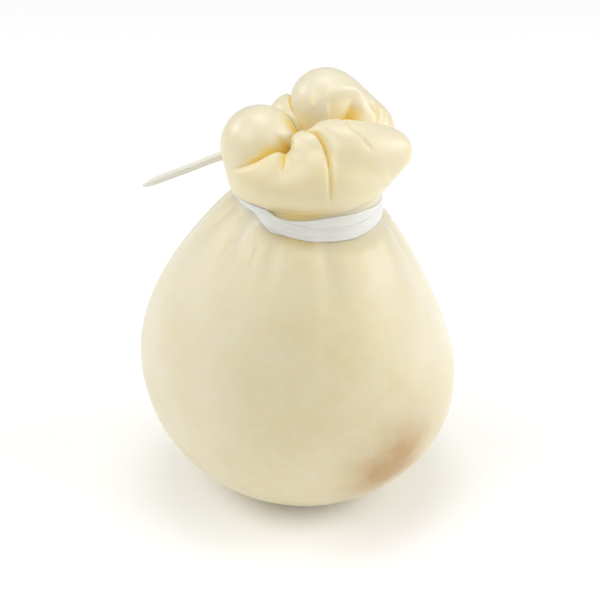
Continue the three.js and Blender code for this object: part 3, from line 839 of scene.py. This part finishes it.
def strip_wall(name, index, turn, across):
    """Heights of places across a strip, and the radius of what it lies on there."""
    _, width, layers = TIE_TURNS[name]
    stray = sum(rise * np.sin(count * turn + start * width) for count, start, rise in EDGE_STRAYS)
    height = turn_height(name, turn) + stray + across * width / 2
    climbed = ease(*OVERLAP_STEP, height - lower_edge(UPPER_TURN, turn))
    apart = layers * (1 - MERGE_SHARE * bump(turn, *MERGE_PLACE))
    curd = waist_profile(index, height - WAIST_TILT * math.cos(turn))
    return height, curd + TIE_GAP + apart * STRIP_THICKNESS * climbed


def strip_sections(name):
    """Closed sections of one flat turn of raffia, with their places along and across it."""
    turns = full_circle(STRIP_COLUMNS)
    outer = np.linspace(-1, 1, STRIP_OUTER_POINTS)
    inner = np.linspace(1, -1, STRIP_INNER_POINTS)
    thickness = STRIP_THICKNESS * (1 - (1 - STRIP_EDGE) * outer**STRIP_EDGE_POWER)
    sections = []
    for index, turn in enumerate(turns):
        dip = WAIST_TILT * math.cos(turn)
        height, wall = strip_wall(name, index, turn, outer)
        raised = wall + thickness + strip_relief(name, turn, outer)
        outside = around_axis(turn, raised, height, height - dip)
        height, wall = strip_wall(name, index, turn, inner)
        inside = around_axis(turn, wall, height, height - dip)
        sections.append(np.concatenate((outside, inside)))
    along = WAIST_RADIUS * turns[:, None] * np.ones(STRIP_OUTER_POINTS + STRIP_INNER_POINTS)
    across = np.broadcast_to(np.concatenate((outer, inner)), along.shape)
    return np.stack(sections), along, across


def step_lengths(curve):
    """Distances between neighbouring points."""
    return np.linalg.norm(np.diff(curve, axis=0), axis=-1)


def smooth_route(points, steps):
    """Evenly spread points on a smooth curve through a few."""
    curve = fine_points(points, ROUTE_FINENESS * len(points))
    travelled = np.concatenate(([0], np.cumsum(step_lengths(curve))))
    even = np.linspace(0, travelled[-1], steps + 1)
    return np.stack([np.interp(even, travelled, values) for values in curve.T], axis=-1)


def strand_sections(route, width, thickness, taper):
    """Sections of a bunched strand along a route, ribbed, flattened and folded, and places on it."""
    tangents = np.gradient(route, axis=0)
    tangents /= np.linalg.norm(tangents, axis=-1, keepdims=True)
    ring = full_circle(STRAND_SIDES)
    shares = np.linspace(0, 1, len(route))
    fold_angle, fold_twist, fold_width, fold_depth = STRAND_FOLD
    up = np.array((0.0, 0.0, 1.0))
    sections = []
    for place, tangent, share in zip(route, tangents, shares):
        up = up - (up @ tangent) * tangent
        up /= np.linalg.norm(up)
        side = np.cross(tangent, up)
        ribs = 1 + sum(rise * np.cos(count * ring + twist * share) for count, twist, rise in STRAND_RIBS)
        fold = 1 - fold_depth * np.exp(-(((ring - fold_angle - fold_twist * share) / fold_width) ** 2))
        size = ribs * fold * taper(share) / 2
        across = thickness * np.cos(ring) * size
        rise = width * np.sin(ring) * size
        sections.append(place + across[:, None] * side + rise[:, None] * up)
    along = step_lengths(route).sum() / MM * shares[:, None] * np.ones(STRAND_SIDES)
    return np.stack(sections), along, np.broadcast_to(ring / np.pi - 1, along.shape)


def tail_taper(share):
    """The cut end narrows to a rounded tip."""
    tip = np.clip((share - TIP_START) / (1 - TIP_START), 0, 1)
    return max(TIP_LEAST, math.sqrt(max(1 - tip**TIP_POWER, 0)))


def knot_taper(share):
    """A knot's strand thins out to both ends, where it goes in among the turns."""
    return KNOT_END + (1 - KNOT_END) * math.sqrt(1 - (2 * share - 1) ** KNOT_END_POWER)


# Meshes


def add_mesh(name, points, faces):
    """Object with a mesh of points given in metres."""
    mesh = bpy.data.meshes.new(name)
    mesh.from_pydata(points.tolist(), [], faces)
    mesh.validate()
    mesh.shade_smooth()
    piece = bpy.data.objects.new(name, mesh)
    bpy.context.scene.collection.objects.link(piece)
    return piece


def wall_faces(rows, columns, closed_rows):
    """Four-sided faces between neighbouring rings of points."""
    row = np.arange(rows if closed_rows else rows - 1)[:, None]
    column = np.arange(columns)[None, :]
    here = row * columns
    above = (row + 1) % rows * columns
    after = (column + 1) % columns
    corners = np.broadcast_arrays(here + column, here + after, above + after, above + column)
    return np.stack(corners, axis=-1).reshape(-1, 4).tolist()


def add_numbers(piece, name, values):
    """Number for each point, that the material reads."""
    attribute = piece.data.attributes.new(name, "FLOAT", "POINT")
    attribute.data.foreach_set("value", np.asarray(values, np.float32).ravel())


def add_vectors(piece, name, values):
    """Vector for each point, that the material reads."""
    attribute = piece.data.attributes.new(name, "FLOAT_VECTOR", "POINT")
    attribute.data.foreach_set("vector", np.asarray(values, np.float32).ravel())


def add_raffia(name, points, faces, along, across):
    """Piece of raffia with its fibres laid along it."""
    piece = add_mesh(name, points.reshape(-1, 3), faces)
    add_vectors(piece, "fibre", np.stack((along, across, np.zeros_like(along)), axis=-1))
    return piece


def add_strand(name, sections, along, across):
    """Closed strand of raffia with flat ends."""
    rows, columns = sections.shape[:2]
    faces = wall_faces(rows, columns, False)
    last = (rows - 1) * columns
    faces.append(list(range(columns))[::-1])
    faces.append([last + column for column in range(columns)])
    return add_raffia(name, sections, faces, along, across)


def dress(piece, slot, material, *nodes):
    """The piece rides on the body, stands for its nodes and takes its finish."""
    piece.data.materials.append(material)
    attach(piece, BODY)
    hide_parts(*nodes)


# Materials


def new_material(name):
    """Material with a plain shader, its node tree and that shader."""
    material = bpy.data.materials.new(name)
    material.use_nodes = True
    tree = material.node_tree
    return material, tree, tree.nodes["Principled BSDF"]


def connect(tree, socket, value):
    """A socket takes a link from an output, or a value."""
    if isinstance(value, bpy.types.NodeSocket):
        tree.links.new(value, socket)
    else:
        socket.default_value = value


def feed(tree, node, **inputs):
    """Gives named inputs of a node their links and values."""
    for key, value in inputs.items():
        connect(tree, node.inputs[key.replace("_", " ")], value)


def add_node(tree, kind, settings=None, **inputs):
    """Node with its settings and what its inputs take."""
    node = tree.nodes.new(kind)
    for key, value in (settings or {}).items():
        setattr(node, key, value)
    feed(tree, node, **inputs)
    return node


def read_attribute(tree, name, output="Fac"):
    """Number or vector that the mesh has for each point."""
    return add_node(tree, "ShaderNodeAttribute", {"attribute_name": name}).outputs[output]


def noise(tree, vector, scale, detail):
    """Cloudy values about a half."""
    sizes = {"Scale": scale, "Detail": detail, "Roughness": NOISE_ROUGHNESS}
    return add_node(tree, "ShaderNodeTexNoise", Vector=vector, **sizes).outputs["Fac"]


def remap(tree, value, low, high, to_low=0.0, to_high=1.0):
    """Smooth rise from one share to another, as a value goes from low to high."""
    node = add_node(
        tree, "ShaderNodeMapRange", {"interpolation_type": "SMOOTHSTEP"},
        Value=value, From_Min=low, From_Max=high, To_Min=to_low, To_Max=to_high,
    )
    return node.outputs["Result"]


def pattern(tree, vector, scale, detail, *levels):
    """Noise that rises between two levels."""
    return remap(tree, noise(tree, vector, scale, detail), *levels)


def calculate(tree, operation, first, second):
    """Sum or product of two values."""
    node = add_node(tree, "ShaderNodeMath", {"operation": operation})
    connect(tree, node.inputs[0], first)
    connect(tree, node.inputs[1], second)
    return node.outputs["Value"]


def mix_colour(tree, share, first, second):
    """First colour with a share of the second."""
    node = add_node(tree, "ShaderNodeMix", {"data_type": "RGBA"})
    sockets = {socket.identifier: socket for socket in (*node.inputs, *node.outputs)}
    for key, value in (("Factor_Float", share), ("A_Color", first), ("B_Color", second)):
        connect(tree, sockets[key], value)
    return sockets["Result_Color"]


def stretched(tree, vector, scale):
    """Places drawn apart or together along each axis."""
    return add_node(tree, "ShaderNodeMapping", Vector=vector, Scale=scale).outputs["Vector"]


def bumps(tree, height, strength, depth, **below):
    """Surface roughened by bumps, over those below them if any are given."""
    node = add_node(tree, "ShaderNodeBump", Height=height, Strength=strength, Distance=depth * MM, **below)
    return node.outputs["Normal"]


def opaque(colour):
    """Colour with no share of what lies behind it."""
    return (*colour, 1.0)


def cheese_material(look):
    """Pale, slightly oily curd: mottled, drawn into strands, with painted sheen, painted golden shade in
    its creases and painted tan shadow low on one side.
    """
    material, tree, shader = new_material("cheese_skin")
    place = add_node(tree, "ShaderNodeTexCoord").outputs["Object"]
    head = read_attribute(tree, "head")
    # The mottles are the curd's own; the paleness read with them is painted sheen on the sides and the top.
    mottles_and_sheen = calculate(tree, "ADD", pattern(tree, place, *MOTTLES), read_attribute(tree, "pale"))
    tan_shade_patches = pattern(tree, place, *TAN_SHADE_PATCHES)
    layers = (
        (head, look.skin_head),
        (mottles_and_sheen, look.skin_pale_and_sheen),
        (pattern(tree, read_attribute(tree, "strand", "Vector"), *STREAKS), look.skin_deep),
        (pattern(tree, place, *SPECKLES), look.skin_pale_and_sheen),
        # Painted tan shadow low on the right side and round the tie.
        (calculate(tree, "MULTIPLY", read_attribute(tree, "blush"), tan_shade_patches), look.blush),
        # Painted golden glow in the hollows between the folds.
        (read_attribute(tree, "hollow"), look.hollow),
        # Painted golden shade in the creases, where light glows through the curd.
        (remap(tree, read_attribute(tree, "crease"), *CREASE_LEVELS), look.crease),
    )
    colour = opaque(look.skin)
    for share, layer in layers:
        colour = mix_colour(tree, share, colour, opaque(layer))

    grain = noise(tree, place, *GRAIN)
    dullness = calculate(tree, "ADD", remap(tree, grain, *GRAIN_LEVELS), look.roughness)
    relief = bumps(tree, grain, *GRAIN_BUMPS)
    glints = noise(tree, stretched(tree, place, GLINT_STRETCH), *GLINTS)
    feed(
        tree,
        shader,
        Base_Color=colour,
        Roughness=calculate(tree, "ADD", pattern(tree, place, *GLOSS_PATCHES), dullness),
        Normal=bumps(tree, noise(tree, place, *RIPPLES), *RIPPLE_BUMPS, Normal=relief),
        Coat_Weight=remap(tree, head, *COAT_LEVELS),
        Coat_Roughness=COAT_ROUGHNESS,
        Coat_Normal=bumps(tree, glints, *GLINT_BUMPS),
        Subsurface_Weight=look.glow,
        Subsurface_Radius=CURD_SOAK_COLOURS,
        Subsurface_Scale=CURD_SOAK * MM,
    )
    return material


def fibres(tree, lay, closeness, scale, detail):
    """Fibres drawn along the raffia."""
    return noise(tree, stretched(tree, lay, closeness), scale, detail)


def raffia_material(look):
    """Satin white raffia, drawn with fine fibres along its length, creamier at the front in part as painted
    shade.
    """
    material, tree, shader = new_material("raffia_fibre")
    lay = read_attribute(tree, "fibre", "Vector")
    fine = fibres(tree, lay, *FINE_FIBRES)
    broad = fibres(tree, lay, *BROAD_FIBRES)
    thin = calculate(tree, "MULTIPLY", read_attribute(tree, "thin"), remap(tree, broad, *THIN_LEVELS))
    colour = mix_colour(tree, remap(tree, fine, *FIBRE_LEVELS), opaque(look.shade), opaque(look.white))
    colour = mix_colour(tree, remap(tree, broad, *CREAM_LEVELS), colour, opaque(look.cream))
    colour = mix_colour(tree, thin, colour, opaque(look.thin))
    feed(
        tree,
        shader,
        Base_Color=colour,
        Roughness=remap(tree, fine, *FIBRE_GLOSS_LEVELS),
        Normal=bumps(tree, fine, *FIBRE_BUMPS),
        Subsurface_Weight=RAFFIA_GLOW,
        Subsurface_Radius=RAFFIA_SOAK_COLOURS,
        Subsurface_Scale=RAFFIA_SOAK * MM,
    )
    return material


def floor_material(look):
    """Dull white floor that gives off a little light."""
    material, tree, shader = new_material("studio_floor")
    feed(
        tree,
        shader,
        Base_Color=opaque(look.floor),
        Roughness=FLOOR_ROUGHNESS,
        Emission_Color=opaque(look.floor),
        Emission_Strength=look.floor_glow,
    )
    return material


# Settings that a user may change


def colour_setting(name, description, default):
    """Colour that a user may change."""
    return bpy.props.FloatVectorProperty(
        name=name, description=description, default=default, size=3, min=0, max=1, subtype="COLOR"
    )


def share_setting(name, description, default):
    """Share that a user may change."""
    return bpy.props.FloatProperty(
        name=name, description=description, default=default, min=0, max=1, subtype="FACTOR"
    )


def power_setting(name, description, default):
    """Power of a light that a user may change."""
    return bpy.props.FloatProperty(
        name=name, description=description, default=default, min=0, max=100, unit="POWER"
    )


def width_setting(name, description, default):
    """Width of a strand that a user may change."""
    return bpy.props.FloatProperty(
        name=name, description=description, default=default, min=0.001, max=0.005, unit="LENGTH"
    )


class ScamorzaCheeseLook(bpy.types.PropertyGroup):
    """Colours and gloss of the curd."""

    skin: colour_setting("Skin", "Main colour of the curd", (0.737, 0.652, 0.416))
    skin_head: colour_setting("Head", "Colour of the head's thinner curd", (0.785, 0.684, 0.425))
    # Also the colour of the painted sheen on the sides and on the top of the head.
    skin_pale_and_sheen: colour_setting("Pale skin", "Colour of the paler mottles", (0.81, 0.752, 0.575))
    skin_deep: colour_setting("Deep skin", "Colour between the drawn strands", (0.715, 0.605, 0.352))
    # Colour of the painted golden glow in the hollows between the head's folds.
    hollow: colour_setting("Hollows", "Colour between the head's folds", (0.92, 0.812, 0.49))
    # Colour of the painted golden shade in the folds, where light glows through the curd.
    crease: colour_setting("Creases", "Warm colour deep in the folds", (0.92, 0.69, 0.16))
    # Colour of the painted tan shadow low on the right side and round the tie.
    blush: colour_setting("Blush", "Tan patch low on the right side", (0.50, 0.32, 0.125))
    roughness: share_setting("Roughness", "Dullness of the skin", 0.44)
    glow: share_setting("Glow", "Share of light that soaks in", 0.85)


class ScamorzaRaffiaLook(bpy.types.PropertyGroup):
    """Colours and sizes of the raffia."""

    white: colour_setting("White", "Colour of the fibres", (0.93, 0.93, 0.91))
    shade: colour_setting("Shade", "Colour between the fibres", (0.89, 0.89, 0.865))
    cream: colour_setting("Cream", "Colour of the older fibres", (0.88, 0.85, 0.77))
    # At the front of the tie this colour is partly painted shade.
    thin: colour_setting("Thin", "Colour where the curd shows through", (0.83, 0.805, 0.705))
    tail_width: width_setting("Tail width", "Width of the free end", 0.0025)
    tail_thickness: width_setting("Tail thickness", "Thickness of the free end", 0.0019)


class ScamorzaStageLook(bpy.types.PropertyGroup):
    """Studio round the cheese."""

    floor: colour_setting("Floor", "Colour of the floor", (0.98, 0.98, 0.98))
    floor_glow: share_setting("Floor glow", "Light that the floor gives off, as a light table does", 0.07)
    dome: bpy.props.FloatProperty(
        name="Dome", description="Strength of the light from all round", default=0.39, min=0, max=5
    )
    right: power_setting("Right light", "Power of the right softbox", 1.15)
    right_front: power_setting("Right front light", "Power of the large softbox at the right front", 3.15)
    left: power_setting("Left light", "Power of the left softbox", 1.5)
    left_front: power_setting("Left front light", "Power of the softbox at the left front", 2.0)
    front: power_setting("Front light", "Power of the front softbox", 0.45)
    top: power_setting("Top light", "Power of the softbox above", 2.15)
    elevation: bpy.props.FloatProperty(
        name="Elevation", description="Camera above level", default=math.radians(29), subtype="ANGLE"
    )
    distance: bpy.props.FloatProperty(
        name="Distance", description="From the camera to the cheese", default=0.62, min=0.2, unit="LENGTH"
    )


# Operators


class SCAMORZA_OT_stage(bpy.types.Operator):
    """Makes the camera, the floor and the soft lights."""

    bl_idname = "scamorza.stage"
    bl_label = "Stage"

    def execute(self, context):
        look = context.scene.scamorza_stage
        self.add_camera(context, look)
        self.add_floor(look)
        for name, (azimuth, elevation, size) in SOFTBOXES.items():
            towards = Vector(direction(math.radians(azimuth), math.radians(elevation)))
            self.add_softbox(context, name, getattr(look, name), towards, size)
        self.light_dome(context, look)
        context.scene.view_settings.view_transform = "Standard"
        return {"FINISHED"}

    def add_camera(self, context, look):
        """Camera that shows AIM on its pixel of the photograph."""
        camera = bpy.data.cameras.new("camera")
        camera.sensor_width = SENSOR
        camera.lens = SENSOR * look.distance / (FRAME_PIXELS * PIXEL_SIZE)
        camera.shift_x = (FRAME_PIXELS / 2 - AIM_PIXEL[0]) / FRAME_PIXELS
        camera.shift_y = (AIM_PIXEL[1] - FRAME_PIXELS / 2) / FRAME_PIXELS
        holder = bpy.data.objects.new("camera", camera)
        back = Vector((0, -math.cos(look.elevation), math.sin(look.elevation)))
        holder.location = Vector(AIM) + look.distance * back
        holder.rotation_euler = (-back).to_track_quat("-Z", "Y").to_euler()
        context.scene.collection.objects.link(holder)
        context.scene.camera = holder

    def add_floor(self, look):
        """Flat floor under the cheese."""
        half = FLOOR_HALF_WIDTH
        corners = np.array(((-half, -half, 0), (half, -half, 0), (half, half, 0), (-half, half, 0)))
        floor = add_mesh("floor", corners, [(0, 1, 2, 3)])
        floor.data.materials.append(floor_material(look))

    def add_softbox(self, context, name, power, towards, size):
        """Square soft light that faces the cheese."""
        light = bpy.data.lights.new(name + "_softbox", "AREA")
        light.energy = power
        light.size = size
        holder = bpy.data.objects.new(light.name, light)
        holder.location = Vector(AIM) + SOFTBOX_DISTANCE * towards
        holder.rotation_euler = (-towards).to_track_quat("-Z", "Y").to_euler()
        context.scene.collection.objects.link(holder)

    def light_dome(self, context, look):
        """Even white light from all round."""
        world = bpy.data.worlds.new("studio")
        world.use_nodes = True
        background = world.node_tree.nodes["Background"]
        background.inputs["Color"].default_value = (1, 1, 1, 1)
        background.inputs["Strength"].default_value = look.dome
        context.scene.world = world


class SCAMORZA_OT_tail(bpy.types.Operator):
    """Makes the free end of the raffia that sticks out on the left."""

    bl_idname = "scamorza.tail"
    bl_label = "Raffia tail"

    def execute(self, context):
        look = context.scene.scamorza_raffia
        route = smooth_route(TAIL_ROUTE, TAIL_STEPS)
        sections, along, across = strand_sections(route, look.tail_width, look.tail_thickness, tail_taper)
        piece = add_strand("raffia_tail", sections, along, across)
        add_numbers(piece, "thin", np.full(along.size, TAIL_THIN))
        dress(piece, "raffia", raffia_material(look), "tie_tail")
        return {"FINISHED"}


class SCAMORZA_OT_tie(bpy.types.Operator):
    """Makes the two flat turns of raffia round the waist."""

    bl_idname = "scamorza.tie"
    bl_label = "Raffia tie"

    def execute(self, context):
        material = raffia_material(context.scene.scamorza_raffia)
        for name in TIE_TURNS:
            sections, along, across = strip_sections(name)
            faces = wall_faces(*sections.shape[:2], True)
            piece = add_raffia(name, sections * MM, faces, along, across)
            # Creamier at the front: partly painted shade, partly the curd showing through.
            add_numbers(piece, "thin", bump(along / WAIST_RADIUS, *THIN_PLACE))
            dress(piece, "raffia", material, "tie")
        return {"FINISHED"}


class SCAMORZA_OT_knot(bpy.types.Operator):
    """Makes the knot behind, of two crossed strands."""

    bl_idname = "scamorza.knot"
    bl_label = "Raffia knot"

    def execute(self, context):
        material = raffia_material(context.scene.scamorza_raffia)
        for name, places in KNOT_STRANDS.items():
            azimuth, height, radius = np.array(places, float).T
            turn = np.radians(azimuth)
            points = around_axis(turn, radius, height, height - WAIST_TILT * np.cos(turn))
            route = smooth_route(points * MM, KNOT_STEPS)
            sizes = (KNOT_WIDTH * MM, KNOT_THICKNESS * MM)
            piece = add_strand(name, *strand_sections(route, *sizes, knot_taper))
            dress(piece, "raffia", material, "tie")
        return {"FINISHED"}


class SCAMORZA_OT_cheese(bpy.types.Operator):
    """Makes the cheese: body, waist and folded head in one closed mesh."""

    bl_idname = "scamorza.cheese"
    bl_label = "Cheese"

    def execute(self, context):
        rings, deep, hollow, painted_tie_shade = cheese_rings()
        foot = np.array((LEAN_OFFSETS[0], 0.0, 0.0))
        spot = [foot + (rings[0] - foot) * share for share in FOOT_RINGS]
        rows = np.concatenate((np.stack(spot), rings))
        points = np.concatenate((rows.reshape(-1, 3), [foot, rows[-1].mean(axis=0)]))
        piece = add_mesh("scamorza_cheese", points * MM, self.cheese_faces(len(rows), CHEESE_COLUMNS))
        below = np.zeros(len(FOOT_RINGS) * CHEESE_COLUMNS)
        # Shares of painted golden shade in the creases and of painted golden glow in the hollows.
        for name, values in (("crease", deep), ("hollow", hollow)):
            add_numbers(piece, name, np.concatenate((below, values.ravel(), [0, values[-1].mean()])))
        # Painted tan shade round the tie, and painted tan shadow low on the right side.
        blush = np.concatenate((below, painted_tie_shade.ravel(), [0, 0]))
        for *centre, spread, share in TAN_SHADE_SPOTS:
            blush += share * np.exp(-((np.linalg.norm(points - centre, axis=-1) / spread) ** 2))
        add_numbers(piece, "blush", blush)
        self.shade_skin(piece, *points.T)
        dress(piece, "cheese", cheese_material(context.scene.scamorza_cheese), "cheese")
        return {"FINISHED"}

    def cheese_faces(self, rows, columns):
        """Faces between the rings, and fans at the foot and the crown, which are the last two points."""
        faces = wall_faces(rows, columns, False)
        last = (rows - 1) * columns
        foot = rows * columns
        for column in range(columns):
            after = (column + 1) % columns
            faces.append([foot, after, column])
            faces.append([foot + 1, last + column, last + after])
        return faces

    def shade_skin(self, piece, x, y, z):
        """Where painted sheen makes the skin paler, where the head's skin starts, and how the strands run.
        """
        turn = np.arctan2(y, x - HEAD_CENTRE[0])
        off = angle_from(SHEEN_FROM, turn)
        # Painted sheen: paler away from the front, less on the left and less low on the body.
        side_sheen = ease(*SHEEN_SIDES, np.degrees(np.abs(off))) * ease(*SHEEN_LOW, z)
        side_sheen *= SHEEN_LEFT + (1 - SHEEN_LEFT) * (1 + np.sin(off)) / 2
        add_numbers(piece, "pale", SHEEN_SHARE * np.where(z < WAIST_TOP, side_sheen, ease(*SHEEN_HEAD, z)))
        add_numbers(piece, "head", ease(*HEAD_SKIN, z))
        round_body = (BODY_RADIUS * np.cos(turn), BODY_RADIUS * np.sin(turn))
        add_vectors(piece, "strand", np.stack((*round_body, z / STRAND_STRETCH), axis=-1))


class SCAMORZA_PT_panel(bpy.types.Panel):
    """Lists the pieces and their settings."""

    bl_idname = "SCAMORZA_PT_panel"
    bl_label = "Scamorza"
    bl_space_type = "VIEW_3D"
    bl_region_type = "UI"
    bl_category = "Scamorza"

    def draw(self, context):
        """Buttons of the pieces, then the settings of each group."""
        for operator in OPERATORS:
            self.layout.operator(operator.bl_idname)
        for name, group in SETTINGS.items():
            box = self.layout.box()
            for setting in group.__annotations__:
                box.prop(getattr(context.scene, name), setting)


SETTINGS = {
    "scamorza_stage": ScamorzaStageLook,
    "scamorza_raffia": ScamorzaRaffiaLook,
    "scamorza_cheese": ScamorzaCheeseLook,
}
OPERATORS = (SCAMORZA_OT_stage, SCAMORZA_OT_tail, SCAMORZA_OT_tie, SCAMORZA_OT_knot, SCAMORZA_OT_cheese)
CLASSES = (*SETTINGS.values(), *OPERATORS, SCAMORZA_PT_panel)


def register():
    """Makes the classes and settings known to the program."""
    for item in CLASSES:
        bpy.utils.register_class(item)
    for name, group in SETTINGS.items():
        setattr(bpy.types.Scene, name, bpy.props.PointerProperty(type=group))


def unregister():
    """Takes the settings and classes away again."""
    for name in SETTINGS:
        delattr(bpy.types.Scene, name)
    for item in reversed(CLASSES):
        bpy.utils.unregister_class(item)


def main():
    """Makes the stage and every piece."""
    register()
    bpy.ops.scamorza.stage()
    bpy.ops.scamorza.tail()
    bpy.ops.scamorza.tie()
    bpy.ops.scamorza.knot()
    bpy.ops.scamorza.cheese()


if __name__ == "__main__":
    main()
